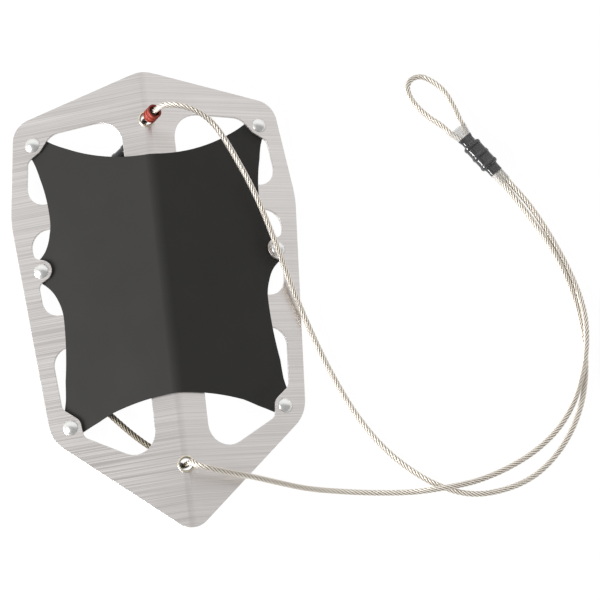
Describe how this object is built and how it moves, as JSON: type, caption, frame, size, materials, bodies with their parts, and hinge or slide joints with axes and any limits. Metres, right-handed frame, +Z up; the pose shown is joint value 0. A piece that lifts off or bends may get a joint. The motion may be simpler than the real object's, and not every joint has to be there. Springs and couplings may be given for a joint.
{
  "type": "snow fluke anchor",
  "caption": "Bent aluminium snow fluke with a riveted black sheet over its windows, and a wire cable bridle through plated eyelets that ends in a sleeved eye loop.",
  "frame": {"origin": "bottom centre of the fluke's own box, on the floor it lies on, without the cable", "axes": "+Z up out of the ridge, +Y along the spine toward the wide end with the red stop, +X toward the side where the bridle lies"},
  "size_m": [0.3888, 0.316, 0.062],
  "materials": {
    "brushed_plate": "brushed across, bare",
    "black_sheet": "matte black sheet",
    "bright_aluminium": "bright",
    "nickel": "nickel plated",
    "ferrule": "satin",
    "red_sleeve": "satin red",
    "black_sleeve": "glossy black shrink tube",
    "clear_sleeve": "clear shrink tube",
    "cable": "stranded galvanised wire"
  },
  "bodies": {
    "fluke": {"frame_plate": "brushed_plate", "snow_panel": "black_sheet", "rivet_top_left": "bright_aluminium", "rivet_top_right": "bright_aluminium", "rivet_mid_left": "bright_aluminium", "rivet_mid_right": "bright_aluminium", "rivet_low_left": "bright_aluminium", "rivet_low_right": "bright_aluminium", "washer_top_left": "bright_aluminium", "washer_top_right": "bright_aluminium", "washer_mid_left": "bright_aluminium", "washer_mid_right": "bright_aluminium", "washer_low_left": "bright_aluminium", "washer_low_right": "bright_aluminium", "upper_eyelet": "nickel", "lower_eyelet": "nickel", "upper_eyelet_ring": "nickel", "lower_eyelet_ring": "nickel", "back_ferrule": "ferrule", "back_sleeve": "black_sleeve", "upper_tail": "cable", "back_bow": "cable"},
    "bridle": {"upper_leg": "cable", "lower_leg": "cable", "eye_loop": "cable", "eye_ferrule": "ferrule", "eye_black_sleeve": "black_sleeve", "eye_clear_sleeve": "clear_sleeve"},
    "collar": {"stop_ferrule": "ferrule", "red_stop_sleeve": "red_sleeve"}
  },
  "joints": [
    {"name": "bridle_swing", "type": "hinge", "parent": "fluke", "child": "bridle", "pos_m": [0, 0.12377, 0.03408], "axis": [0, -0.9996, -0.027], "range_deg": [0, 180], "deforming": ["upper_leg", "lower_leg"]},
    {"name": "collar_tilt", "type": "hinge", "parent": "fluke", "child": "collar", "pos_m": [0, 0.12377, 0.03408], "axis": [0, -0.9996, -0.027], "range_deg": [0, 48.1]}
  ],
  "couplings": [
    {"joint": "collar_tilt", "follows": "bridle_swing", "ratio": 0.2667}
  ]
}
